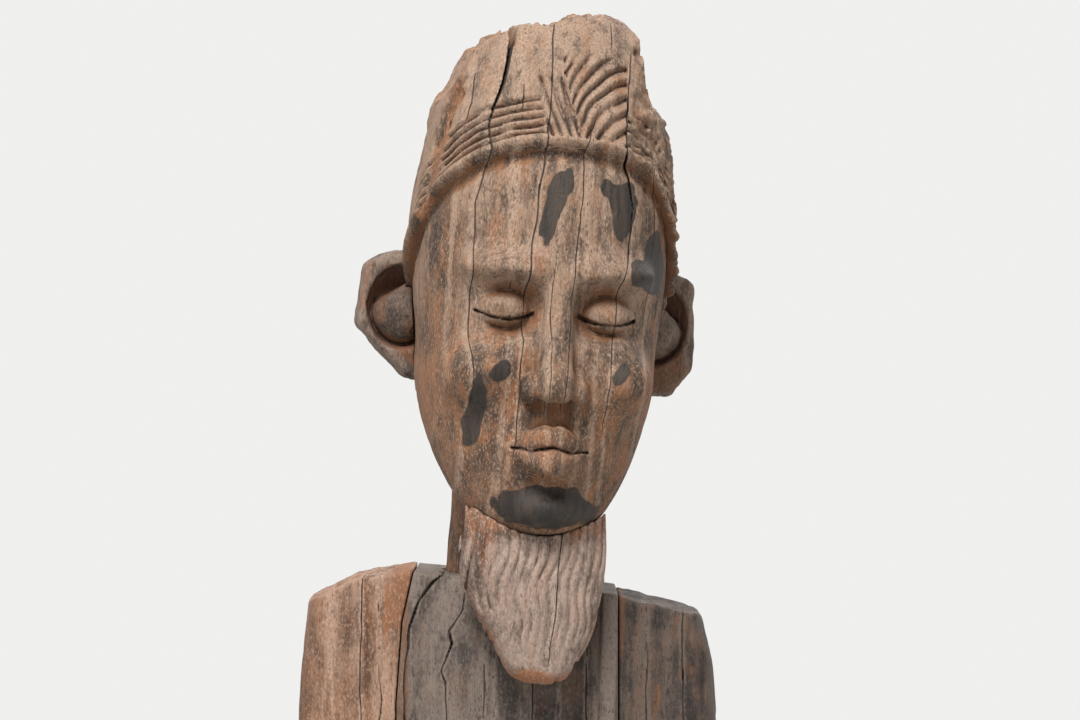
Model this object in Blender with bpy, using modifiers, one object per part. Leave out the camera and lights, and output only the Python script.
"""A carved wooden ancestor figure, standing, 1.2 m tall.

The figure faces -Y and stands on z = 0, with the origin at the centre of the plinth's underside.
Left and right are the figure's own, so its left is at +X.
The body is one log. The head drops into it on a round tenon, and the beard, the ears and the arms
are separate carvings, held by tenons and wooden pegs. The plinth takes a square tenon under the feet.
"""

import math

import bmesh
import bpy
from mathutils import Matrix, Vector

# Driving dimensions, in metres.
FIGURE_HEIGHT = 1.200
PLINTH_RADIUS = 0.150
PLINTH_HEIGHT = 0.075
SHOULDER_HEIGHT = 0.812
SHOULDER_SLOPE = math.radians(6.0)
TORSO_HALF_WIDTH = 0.0747
ARM_REACH = 0.142
HEAD_HALF_WIDTH = 0.0855
GAP = 0.0003

# The head leans to the figure's left, turns the same way, and comes forward of the neck.
NECK_FOOT = Vector((0.001, 0.004, 0.800))
HEAD_LEAN = math.radians(4.0)
HEAD_TURN = math.radians(8.0)
HEAD_FORWARD = 0.034
CROWN = (FIGURE_HEIGHT - NECK_FOOT.z) / math.cos(HEAD_LEAN)

# The face is set out by thirds between hairline and chin, and by fifths across the head.
CHIN = 0.045
HAIRLINE = 0.303
THIRD = (HAIRLINE - CHIN) / 3
EYE_WIDTH = 2 * HEAD_HALF_WIDTH / 5
NOSE_BASE = CHIN + THIRD
BROW = CHIN + 2 * THIRD
EYE_LINE = BROW - THIRD / 4
MOUTH = NOSE_BASE - THIRD / 3
FACE_FRONT = -HEAD_FORWARD - 0.112

# The cap of hair stands proud of the skull, above a plane that drops towards the nape.
CAP_STEP = 0.0045
CAP_SLOPE = math.radians(33.0)

# The crown has broken away at both sides: (x, z) outlines of what is gone.
BROKEN_CORNER = [
    (-0.035, 0.430),
    (-0.035, 0.380),
    (-0.056, 0.376),
    (-0.074, 0.344),
    (-0.110, 0.344),
    (-0.110, 0.430),
]
BROKEN_SIDE = [
    (0.046, 0.430),
    (0.046, 0.392),
    (0.056, 0.356),
    (0.059, 0.332),
    (0.075, 0.327),
    (0.110, 0.300),
    (0.110, 0.430),
]

# Ears, between these heights above the neck's foot.
EAR_LOW = 0.143
EAR_HIGH = 0.231
EAR_REACH = 0.118
EAR_DEPTH = 0.032
EAR_CENTRE_Y = 0.016
EAR_TAPER = {"right": (0.034, 0.080), "left": (0.020, 0.103)}

# Seams between torso and arms, as (distance from the middle, height) from the hands up.
SEAM_LOW = 0.366
SEAMS = {
    "right": [
        (TORSO_HALF_WIDTH, SEAM_LOW),
        (TORSO_HALF_WIDTH, 0.730),
        (TORSO_HALF_WIDTH - 0.004, 0.785),
        (TORSO_HALF_WIDTH - 0.014, 0.830),
        (TORSO_HALF_WIDTH - 0.014, 0.900),
    ],
    "left": [(TORSO_HALF_WIDTH, SEAM_LOW), (TORSO_HALF_WIDTH, 0.900)],
}

# The arms' tops: height at the seam and its slope, then the outer corner's height and its slope.
ARM_TOPS = {
    "right": (0.8175, math.radians(9.0), 0.7965, math.radians(27.0)),
    "left": (0.8015, math.radians(13.0), 0.7800, math.radians(50.0)),
}

# Pegs and tenons.
NECK_TENON_RADIUS = 0.026
NECK_TENON_LENGTH = 0.075
NECK_HALF = (0.044, 0.044)
NECK_Y = 0.008
COLLAR_GAP = 0.002
ARM_PEG_RADIUS = 0.007
ARM_PEG_HEIGHTS = {"upper": 0.735, "lower": 0.600}
SMALL_PEG_RADIUS = 0.006
FOOT_TENON = (0.080, 0.070, 0.048)
PLINTH_PEG_HEIGHT = 0.050

RING_POINTS = 28
BIG = 0.6


def clear_scene():
    for old in list(bpy.data.objects):
        bpy.data.objects.remove(old, do_unlink=True)


def make_collection(name):
    collection = bpy.data.collections.new(name)
    bpy.context.scene.collection.children.link(collection)
    return collection


def wood(name, colour, roughness):
    material = bpy.data.materials.new(name)
    material.use_nodes = True
    shader = material.node_tree.nodes["Principled BSDF"]
    shader.inputs["Base Color"].default_value = (*colour, 1.0)
    shader.inputs["Roughness"].default_value = roughness
    shader.inputs["Metallic"].default_value = 0.0
    return material


def add_object(name, mesh_data, material=None, parent=None):
    """A part if it has a material, and otherwise a helper that a Boolean reads."""
    obj = bpy.data.objects.new(name, mesh_data)
    obj.parent = parent
    if material:
        figure.objects.link(obj)
        mesh_data.materials.append(material)
        if obj.type == "MESH":
            mesh_data.shade_smooth()
            mesh_data.set_sharp_from_angle(angle=math.radians(35))
    else:
        helpers.objects.link(obj)
        obj.hide_render = True
        obj.display_type = "WIRE"
    return obj


def mesh_from(bm, name):
    bmesh.ops.recalc_face_normals(bm, faces=bm.faces)
    mesh = bpy.data.meshes.new(name)
    bm.to_mesh(mesh)
    bm.free()
    return mesh


def ease(a, b, c, d, t):
    """Catmull-Rom value between b and c."""
    slope_b = (c - a) / 2
    slope_c = (d - b) / 2
    curve = 2 * b - 2 * c + slope_b + slope_c
    bend = 3 * (c - b) - 2 * slope_b - slope_c
    return ((curve * t + bend) * t + slope_b) * t + b


def smooth(sections, steps):
    """The key sections with further ones eased in between them."""
    padded = [sections[0], *sections, sections[-1]]
    found = []
    for a, b, c, d in zip(padded, padded[1:], padded[2:], padded[3:]):
        for i in range(steps):
            found.append([ease(*values, i / steps) for values in zip(a, b, c, d)])
    return found + [list(sections[-1])]


def ring(section):
    """Points of one superellipse: section is (z, x, y, half width, half depth, squareness)."""
    z, x, y, half_width, half_depth, squareness = section
    power = 2 / squareness
    for i in range(RING_POINTS):
        angle = 2 * math.pi * i / RING_POINTS
        c, s = math.cos(angle), math.sin(angle)
        across = math.copysign(abs(c) ** power, c)
        along = math.copysign(abs(s) ** power, s)
        yield Vector((x + half_width * across, y + half_depth * along, z))


def loft(name, sections, material=None, parent=None, steps=2):
    """A closed solid through rings that change in size, place and squareness with height."""
    bm = bmesh.new()
    rings = [[bm.verts.new(p) for p in ring(s)] for s in smooth(sections, steps)]
    for low, high in zip(rings, rings[1:]):
        for i in range(RING_POINTS):
            j = (i + 1) % RING_POINTS
            bm.faces.new((low[i], low[j], high[j], high[i]))
    bm.faces.new(rings[0])
    bm.faces.new(rings[-1])
    return add_object(name, mesh_from(bm, name), material, parent)


def box(name, centre, size, material=None, parent=None):
    bm = bmesh.new()
    bmesh.ops.create_cube(bm, size=1.0)
    bmesh.ops.scale(bm, vec=size, verts=bm.verts)
    obj = add_object(name, mesh_from(bm, name), material, parent)
    obj.location = centre
    return obj


def rod(name, start, end, radius, material=None, parent=None, segments=16):
    """A round peg, or the hole for one, from start to end."""
    start, end = Vector(start), Vector(end)
    bm = bmesh.new()
    length = (end - start).length
    bmesh.ops.create_cone(
        bm, cap_ends=True, segments=segments, radius1=radius, radius2=radius, depth=length
    )
    obj = add_object(name, mesh_from(bm, name), material, parent)
    obj.location = (start + end) / 2
    obj.rotation_mode = "QUATERNION"
    obj.rotation_quaternion = (end - start).to_track_quat("Z", "Y")
    return obj


def prism(name, outline, y, depth, material=None, parent=None):
    """A plate whose front and back follow an outline of (x, z) points, centred on y."""
    bm = bmesh.new()
    front = [bm.verts.new((x, y - depth / 2, z)) for x, z in outline]
    back = [bm.verts.new((x, y + depth / 2, z)) for x, z in outline]
    bm.faces.new(front)
    bm.faces.new(back)
    for i in range(len(outline)):
        j = (i + 1) % len(outline)
        bm.faces.new((front[i], front[j], back[j], back[i]))
    return add_object(name, mesh_from(bm, name), material, parent)


def ball(name, centre, radii, parent=None, segments=16):
    bm = bmesh.new()
    bmesh.ops.create_uvsphere(bm, u_segments=segments, v_segments=segments // 2, radius=1.0)
    bmesh.ops.scale(bm, vec=radii, verts=bm.verts)
    obj = add_object(name, mesh_from(bm, name), None, parent)
    obj.location = centre
    return obj


def combine(obj, operation, *others):
    for other in others:
        modifier = obj.modifiers.new(f"{operation.lower()} {other.name}", "BOOLEAN")
        modifier.operation = operation
        modifier.object = other


def round_edges(obj, width, segments=2):
    modifier = obj.modifiers.new("rounded edges", "BEVEL")
    modifier.width = width
    modifier.segments = segments
    modifier.angle_limit = math.radians(50)


# ---------------------------------------------------------------- head


def skull_sections(grown=0.0):
    """Jaw to crown of the skull, without the hair. The jaw comes forward of the neck."""
    y = -HEAD_FORWARD
    w = HEAD_HALF_WIDTH
    keys = [
        (CHIN, y - 0.064, 0.024, 0.026, 2.2),
        (CHIN + 0.012, y - 0.052, 0.043, 0.048, 2.3),
        (CHIN + 0.032, y - 0.034, 0.057, 0.074, 2.3),
        (CHIN + 0.058, y - 0.019, 0.069, 0.092, 2.3),
        (NOSE_BASE + 0.010, y - 0.009, 0.079, 0.103, 2.3),
        (EYE_LINE - 0.020, y - 0.003, w - 0.005, 0.109, 2.3),
        (BROW, y, w - 0.001, 0.112, 2.3),
        (0.262, y + 0.001, w - 0.001, 0.112, 2.3),
        (HAIRLINE, y + 0.002, w - 0.007, 0.107, 2.3),
        (0.345, y + 0.003, w - 0.020, 0.093, 2.3),
        (0.375, y + 0.004, w - 0.045, 0.066, 2.3),
    ]
    return [(z - grown * (z == CHIN), 0, y, a + grown, b + grown, n) for z, y, a, b, n in keys]


def cap_sections(grown=0.0):
    """The mass of the hair, a step larger than the skull, with a broken top."""
    step = CAP_STEP + grown
    keys = [(z, y, a + step, b + step, n) for z, _, y, a, b, n in skull_sections()[3:9]]
    y = -HEAD_FORWARD + 0.003
    w = HEAD_HALF_WIDTH
    keys += [
        (0.345, y, w - 0.010 + grown, 0.098 + grown, 2.4),
        (0.372, y, w - 0.021 + grown, 0.086 + grown, 2.4),
        (0.392, y, w - 0.035 + grown, 0.070 + grown, 2.3),
        (CROWN + grown, y, w - 0.046 + grown, 0.056 + grown, 2.2),
    ]
    return [(z, 0, y, a, b, n) for z, y, a, b, n in keys]


def make_cap(name, grown=0.0):
    """The hair is cut off below a plane through the hairline that drops towards the nape."""
    cap = loft(name, cap_sections(grown), parent=head_frame)
    rim = Matrix.Rotation(-CAP_SLOPE, 4, "X")
    below = box(name + "_rim_cutter", (0, 0, 0), (BIG, BIG, BIG), parent=head_frame)
    hairline = Vector((0, FACE_FRONT, HAIRLINE - grown))
    below.matrix_local = Matrix.Translation(hairline) @ rim @ Matrix.Translation((0, 0, -BIG / 2))
    combine(cap, "DIFFERENCE", below)
    return cap


def make_nose():
    half = EYE_WIDTH / 2
    sections = [
        (NOSE_BASE - 0.004, 0, FACE_FRONT + 0.012, half - 0.006, 0.018, 2.4),
        (NOSE_BASE + 0.006, 0, FACE_FRONT + 0.008, half, 0.026, 2.6),
        (NOSE_BASE + 0.020, 0, FACE_FRONT + 0.008, half - 0.005, 0.026, 2.3),
        (EYE_LINE - 0.020, 0, FACE_FRONT + 0.010, 0.010, 0.018, 2.2),
        (EYE_LINE + 0.008, 0, FACE_FRONT + 0.010, 0.008, 0.013, 2.2),
        (BROW + 0.006, 0, FACE_FRONT + 0.014, 0.009, 0.010, 2.2),
    ]
    return loft("nose_shape", sections, parent=head_frame)


def make_lips():
    lip = (0.75 * EYE_WIDTH, 0.016, 0.0085)
    y = FACE_FRONT + 0.010
    upper = ball("upper_lip_shape", (0, y, MOUTH + 0.0062), lip, head_frame)
    lower = ball("lower_lip_shape", (0, y, MOUTH - 0.0062), lip, head_frame)
    return upper, lower


def make_eyes():
    """A hollow under each brow, and the lowered lid that fills most of it."""
    sockets = []
    lids = []
    for side, sign in SIDES.items():
        hollow = (sign * EYE_WIDTH, FACE_FRONT - 0.002, EYE_LINE - 0.002)
        lid = (sign * EYE_WIDTH, FACE_FRONT + 0.018, EYE_LINE - 0.002)
        sockets.append(ball(f"{side}_eye_socket", hollow, (0.023, 0.016, 0.016), head_frame))
        lids.append(ball(f"{side}_eyelid_shape", lid, (EYE_WIDTH / 2, 0.013, 0.0105), head_frame))
    return sockets, lids


def make_head():
    head = loft("head", skull_sections(), head_wood, head_frame)
    neck_sections = [
        (z, 0, NECK_Y, NECK_HALF[0] + flare, NECK_HALF[1] + flare, 2.3)
        for z, flare in ((0.0, 0.001), (0.030, -0.001), (0.070, 0.000), (0.150, 0.002))
    ]
    neck = loft("neck_shape", neck_sections, parent=head_frame)
    tenon = rod(
        "neck_tenon_shape",
        (0, NECK_Y, -NECK_TENON_LENGTH),
        (0, NECK_Y, 0.020),
        NECK_TENON_RADIUS,
        parent=head_frame,
    )
    broken_corner = prism("broken_crown_cutter", BROKEN_CORNER, 0, BIG, parent=head_frame)
    broken_side = prism("broken_side_cutter", BROKEN_SIDE, 0, BIG, parent=head_frame)
    sockets, lids = make_eyes()
    combine(head, "DIFFERENCE", *sockets)
    combine(head, "UNION", *lids, *make_lips(), make_nose(), make_cap("cap_shape"), neck, tenon)
    combine(head, "DIFFERENCE", broken_corner, broken_side, neck_pin_hole, beard_peg_hole)
    combine(head, "DIFFERENCE", ear_tenon("right", -1, GAP), ear_tenon("left", 1, GAP))
    return head


# ---------------------------------------------------------------- ears


def ear_tenon(side, sign, grown=0.0):
    name = f"{side}_ear_tenon_{'hole' if grown else 'shape'}"
    size = [0.040 + 2 * grown, 0.018 + 2 * grown, 0.030 + 2 * grown]
    centre = (sign * 0.076, EAR_CENTRE_Y, (EAR_LOW + EAR_HIGH) / 2)
    return box(name, centre, size, parent=head_frame)


def ear_outline(side, sign):
    """The ear seen from the front: sloping top, blunt upper corner and a taper below."""
    taper_start, taper_end = EAR_TAPER[side]
    outline = [
        (0.060, EAR_HIGH),
        (0.090, EAR_HIGH),
        (0.104, EAR_HIGH - 0.004),
        (0.114, EAR_HIGH - 0.011),
        (0.116, EAR_HIGH - 0.018),
        (EAR_REACH, EAR_LOW + taper_start),
        (EAR_REACH - 0.003, EAR_LOW + taper_start - 0.008),
        (taper_end, EAR_LOW),
        (0.060, EAR_LOW),
    ]
    return [(sign * x, z) for x, z in outline]


def make_ear(side, sign):
    """A flat plate of the outline's shape, coped to the head, hollowed, with a round lobe inside."""
    ear = prism(
        f"ear_{side}", ear_outline(side, sign), EAR_CENTRE_Y, EAR_DEPTH, ear_wood, head_frame
    )
    round_edges(ear, 0.003)
    middle = (EAR_LOW + EAR_HIGH) / 2
    front = EAR_CENTRE_Y - EAR_DEPTH / 2
    hollow_centre = (sign * 0.093, front, middle + 0.004)
    lobe_centre = (sign * 0.094, front + 0.008, middle + 0.004)
    hollow = ball(f"{side}_ear_hollow", hollow_centre, (0.018, 0.014, 0.029), head_frame)
    lobe = ball(f"{side}_ear_lobe", lobe_centre, (0.014, 0.015, 0.019), head_frame)
    combine(ear, "DIFFERENCE", hollow)
    combine(ear, "UNION", lobe)
    combine(ear, "DIFFERENCE", skull_cutter, cap_cutter)
    combine(ear, "UNION", ear_tenon(side, sign))


# ---------------------------------------------------------------- beard


def make_beard():
    """A long tongue under the chin, coped to the jaw and the chest, with its tip to the left."""
    y = FACE_FRONT + 0.046
    sections = [
        (-0.0545, 0.010, y + 0.003, 0.011, 0.012, 2.2),
        (-0.0480, 0.009, y + 0.002, 0.020, 0.019, 2.3),
        (-0.0260, 0.008, y + 0.001, 0.033, 0.023, 2.5),
        (-0.0080, 0.004, y, 0.042, 0.026, 2.7),
        (0.0100, 0.001, y, 0.0475, 0.027, 2.7),
        (0.0260, 0.000, y, 0.050, 0.028, 2.7),
        (0.0500, 0.000, y + 0.002, 0.048, 0.028, 2.6),
        (0.0760, 0.000, y + 0.006, 0.046, 0.024, 2.5),
    ]
    beard = loft("beard", sections, beard_wood, head_frame)
    chest_cutter = loft("chest_cutter", body_sections(GAP))
    combine(beard, "DIFFERENCE", skull_cutter, chest_cutter, beard_peg_hole)
    return beard


# ---------------------------------------------------------------- body and arms


def body_sections(grown=0.0):
    """Gown from the hem up, then the torso, which its seams with the arms cut flat."""
    w = TORSO_HALF_WIDTH
    hem = PLINTH_HEIGHT + 0.040
    keys = [
        (hem, 0, 0.006, 0.110, 0.092, 2.5),
        (hem + 0.045, 0, 0.005, 0.106, 0.089, 2.5),
        (0.250, 0, 0.003, 0.096, 0.083, 2.6),
        (0.330, 0, 0.001, 0.082, 0.080, 3.2),
        (0.362, 0, 0.000, w + 0.002, 0.079, 3.6),
        (0.450, 0, -0.001, w + 0.008, 0.078, 4.0),
        (0.550, 0, -0.003, w + 0.018, 0.074, 4.0),
        (0.650, 0, -0.002, w + 0.026, 0.074, 4.0),
        (0.740, 0, -0.001, w + 0.030, 0.075, 4.0),
        (0.790, 0, 0.000, w + 0.030, 0.072, 4.0),
        (SHOULDER_HEIGHT + 0.030, 0, 0.002, w + 0.030, 0.066, 4.0),
    ]
    return [(z, x, y, a + grown, b + grown, n) for z, x, y, a, b, n in keys]


def beyond_seam(side, sign, gap=0.0, low=SEAM_LOW):
    """All that lies outside the seam of one arm, whose top leans in on the right."""
    seam = [(x + gap, z) for x, z in SEAMS[side]]
    outline = [(seam[0][0], low), *seam[1:], (BIG, BIG + 0.4), (BIG, low)]
    return prism(f"beyond_seam_{side}_{low}", [(sign * x, z) for x, z in outline], 0, BIG)


def slope_cutter(name, x, z, slope):
    """Everything above a plane through (x, z) that falls towards +X by slope."""
    cutter = box(name, (0, 0, 0), (BIG, BIG, BIG))
    turned = Matrix.Rotation(slope, 4, "Y")
    cutter.matrix_world = Matrix.Translation((x, 0, z)) @ turned @ Matrix.Translation((0, 0, BIG / 2))
    return cutter


def make_feet():
    """Two ankles and two blunt feet below the hem."""
    shapes = []
    floor = PLINTH_HEIGHT + GAP
    for side, sign in (("right", -1), ("left", 1)):
        x = sign * 0.047
        foot = [
            (floor, x, -0.036, 0.031, 0.084, 2.8),
            (floor + 0.016, x, -0.036, 0.031, 0.083, 2.8),
            (floor + 0.032, x, -0.024, 0.027, 0.066, 2.5),
            (floor + 0.046, x, 0.004, 0.023, 0.034, 2.3),
        ]
        ankle = [(z, x, 0.014, 0.030, 0.036, 2.2) for z in (floor + 0.002, floor + 0.060)]
        shapes.append(loft(f"{side}_foot_shape", foot))
        shapes.append(loft(f"{side}_ankle_shape", ankle, steps=1))
    return shapes


def foot_tenon(grown=0.0):
    x, y, depth = FOOT_TENON
    size = (x + 2 * grown, y + 2 * grown, depth + 0.060)
    low = PLINTH_HEIGHT - depth - grown
    name = "mortise_cutter" if grown else "foot_tenon_shape"
    return box(name, (0, 0.014, low + size[2] / 2), size)


def make_body():
    body = loft("body", body_sections(), body_wood)
    shoulders = slope_cutter("shoulder_cutter", 0, SHOULDER_HEIGHT, SHOULDER_SLOPE)
    neck_bed_sections = [
        (z, 0, NECK_Y, NECK_HALF[0] + COLLAR_GAP, NECK_HALF[1] + COLLAR_GAP, 2.3)
        for z in (-GAP, 0.060)
    ]
    neck_bed = loft("neck_bed_cutter", neck_bed_sections, parent=head_frame, steps=1)
    socket = rod(
        "neck_socket_cutter",
        (0, NECK_Y, -NECK_TENON_LENGTH - 0.001),
        (0, NECK_Y, 0.030),
        NECK_TENON_RADIUS + GAP,
        parent=head_frame,
    )
    combine(body, "UNION", *make_feet(), foot_tenon())
    combine(body, "DIFFERENCE", *(beyond_seam(side, sign) for side, sign in SIDES.items()))
    combine(body, "DIFFERENCE", shoulders, neck_bed, socket, neck_pin_hole)
    combine(body, "DIFFERENCE", *arm_peg_holes.values(), *plinth_peg_holes.values())
    return body


def make_arm(side, sign):
    """A slab from the shoulder to the fingertips, flat where it lies against the torso."""
    top, slope, corner_height, corner_slope = ARM_TOPS[side]
    reach = ARM_REACH
    keys = [
        (0.372, reach - 0.034, 0.026, 3.0),
        (0.380, reach - 0.028, 0.034, 3.5),
        (0.410, reach - 0.023, 0.041, 4.0),
        (0.440, reach - 0.024, 0.038, 4.0),
        (0.465, reach - 0.024, 0.034, 4.0),
        (0.520, reach - 0.013, 0.046, 4.5),
        (0.575, reach - 0.010, 0.053, 4.5),
        (0.640, reach - 0.005, 0.060, 4.5),
        (0.700, reach, 0.066, 4.5),
        (0.750, reach - 0.002, 0.068, 4.5),
        (0.790, reach - 0.006, 0.067, 4.5),
        (0.830, reach - 0.010, 0.063, 4.5),
    ]
    inner = TORSO_HALF_WIDTH - 0.030
    sections = [
        (z, sign * (inner + outer) / 2, 0.0, (outer - inner) / 2, depth, n)
        for z, outer, depth, n in keys
    ]
    arm = loft(f"arm_{side}", sections, arm_woods[side], steps=1)
    combine(arm, "INTERSECT", beyond_seam(side, sign, GAP, low=0.300))
    top_cutter = slope_cutter(f"arm_{side}_top", sign * TORSO_HALF_WIDTH, top, sign * slope)
    corner_cutter = slope_cutter(f"arm_{side}_corner", sign * 0.137, corner_height, sign * corner_slope)
    combine(arm, "DIFFERENCE", top_cutter, corner_cutter)
    combine(arm, "DIFFERENCE", *(arm_peg_holes[side, which] for which in ARM_PEG_HEIGHTS))


def arm_peg(side, sign, which, hole=False):
    """A peg driven in from outside, flush with the arm, that ends inside the torso."""
    z = ARM_PEG_HEIGHTS[which]
    outer = {"upper": ARM_REACH - 0.0015, "lower": ARM_REACH - 0.0080}[which]
    if hole:
        name = f"arm_peg_{side}_{which}_hole"
        return rod(name, (sign * 0.034, 0, z), (sign * 0.170, 0, z), ARM_PEG_RADIUS + GAP)
    name = f"arm_peg_{side}_{which}"
    return rod(name, (sign * 0.035, 0, z), (sign * outer, 0, z), ARM_PEG_RADIUS, peg_wood)


# ---------------------------------------------------------------- plinth and pegs


def make_plinth():
    plinth = rod("plinth", (0, 0, 0), (0, 0, PLINTH_HEIGHT), PLINTH_RADIUS, body_wood, segments=48)
    round_edges(plinth, 0.006)
    combine(plinth, "DIFFERENCE", foot_tenon(GAP), *plinth_peg_holes.values())
    return plinth


def plinth_peg(side, sign, hole=False):
    z = PLINTH_PEG_HEIGHT
    y = 0.014
    if hole:
        name = f"plinth_peg_{side}_hole"
        return rod(name, (sign * 0.014, y, z), (sign * 0.180, y, z), ARM_PEG_RADIUS + GAP)
    outer = PLINTH_RADIUS - 0.0015
    return rod(f"plinth_peg_{side}", (sign * 0.015, y, z), (sign * outer, y, z), ARM_PEG_RADIUS, peg_wood)


def neck_pin(hole=False):
    """A cross pin from the back of the body, through the neck's tenon."""
    y_back = 0.0715
    z = NECK_FOOT.z - 0.045
    if hole:
        ends = ((0, -0.030, z), (0, 0.120, z))
        return rod("neck_pin_hole", *ends, SMALL_PEG_RADIUS + GAP)
    return rod("neck_pin", (0, -0.029, z), (0, y_back, z), SMALL_PEG_RADIUS, peg_wood)


def beard_peg(hole=False):
    """A hidden dowel from the chin down into the beard."""
    y = FACE_FRONT + 0.042
    end = 0.001 if hole else 0.0
    low, high = -0.020 - end, 0.085 + end
    radius = SMALL_PEG_RADIUS + (GAP if hole else 0)
    name = "beard_peg_hole" if hole else "beard_peg"
    return rod(name, (0, y, low), (0, y, high), radius, None if hole else peg_wood, head_frame)


SIDES = {"right": -1, "left": 1}

clear_scene()
figure = make_collection("ancestor_figure")
helpers = make_collection("cutters")

body_wood = wood("weathered heartwood", (0.150, 0.108, 0.085), 0.75)
head_wood = wood("dusty carved wood", (0.330, 0.225, 0.170), 0.80)
beard_wood = wood("pale carved wood", (0.350, 0.255, 0.205), 0.80)
ear_wood = wood("grey carved wood", (0.180, 0.135, 0.110), 0.70)
peg_wood = wood("peg wood", (0.120, 0.075, 0.050), 0.70)
arm_woods = {
    "right": wood("pale sapwood", (0.340, 0.195, 0.120), 0.80),
    "left": wood("dark heartwood", (0.095, 0.068, 0.057), 0.70),
}

head_frame = bpy.data.objects.new("head_frame", None)
figure.objects.link(head_frame)
head_frame.location = NECK_FOOT
head_frame.rotation_euler = (0, HEAD_LEAN, HEAD_TURN)
bpy.context.view_layer.update()

neck_pin_hole = neck_pin(hole=True)
beard_peg_hole = beard_peg(hole=True)
arm_peg_holes = {
    (side, which): arm_peg(side, sign, which, hole=True)
    for side, sign in SIDES.items()
    for which in ARM_PEG_HEIGHTS
}
plinth_peg_holes = {side: plinth_peg(side, sign, hole=True) for side, sign in SIDES.items()}
skull_cutter = loft("skull_cutter", skull_sections(GAP), parent=head_frame)
cap_cutter = make_cap("cap_cutter", GAP)

make_head()
make_beard()
beard_peg()
neck_pin()
make_body()
make_plinth()
for side, sign in SIDES.items():
    make_ear(side, sign)
    plinth_peg(side, sign)
    for which in ARM_PEG_HEIGHTS:
        arm_peg(side, sign, which)
    make_arm(side, sign)
